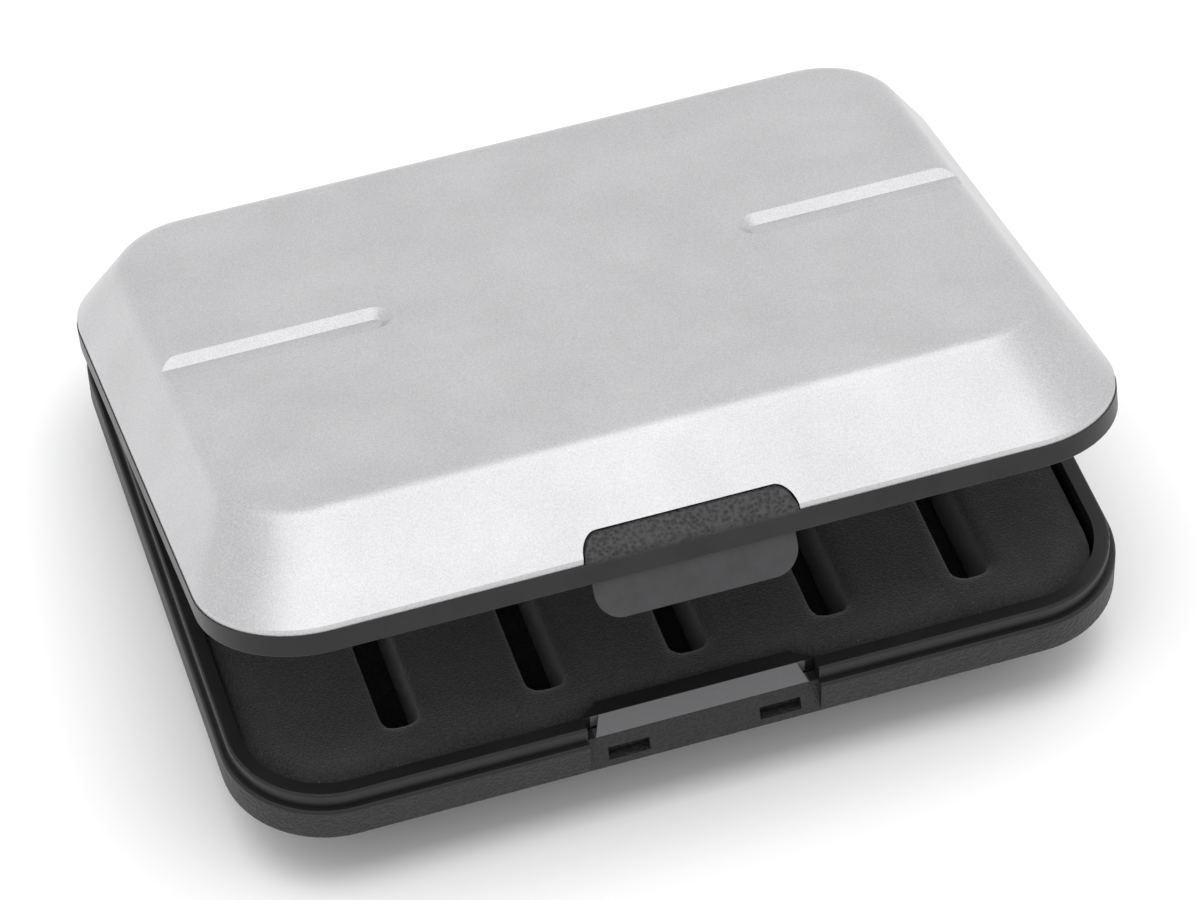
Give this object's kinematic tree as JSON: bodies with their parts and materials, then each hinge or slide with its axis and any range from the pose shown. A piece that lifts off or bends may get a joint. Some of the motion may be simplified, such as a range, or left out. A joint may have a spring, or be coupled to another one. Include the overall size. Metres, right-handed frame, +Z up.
{
  "type": "broadhead case",
  "caption": "Shallow hinged case with a pressed metal lid skin, a snap tongue and a slotted foam insert that holds arrow points.",
  "frame": {"origin": "centre of the flat underside of the tray", "axes": "+X across the case, the front with the snap tongue faces -Y, +Z up"},
  "size_m": [0.1408, 0.1192, 0.0609],
  "materials": {
    "tray_plastic": "fine leather grain",
    "frame_plastic": "satin, with a grained pad",
    "skin_metal": "silver, fine metallic grain",
    "tongue_plastic": "smooth satin",
    "pin_steel": "bright ground",
    "foam_dark": "open-cell foam, charcoal"
  },
  "bodies": {
    "tray": {"base_tray": "tray_plastic", "foam_backing": "foam_dark", "foam_insert": "foam_dark", "hinge_pin_left": "pin_steel", "hinge_pin_right": "pin_steel"},
    "lid": {"lid_frame": "frame_plastic", "lid_skin": "skin_metal", "latch_pin": "pin_steel"},
    "tongue": {"latch_tongue": "tongue_plastic"}
  },
  "joints": [
    {"name": "lid_hinge", "type": "hinge", "parent": "tray", "child": "lid", "pos_m": [0, 0.05925, 0.0182], "axis": [-1, 0, 0], "range_deg": [-15.6, 94.4]},
    {"name": "tongue_pivot", "type": "hinge", "parent": "lid", "child": "tongue", "pos_m": [0, -0.05037, 0.05026], "axis": [-1, 0, 0], "range_deg": [0, 10], "stiffness_Nm_per_rad": 0.05, "springref_deg": -5.73}
  ]
}
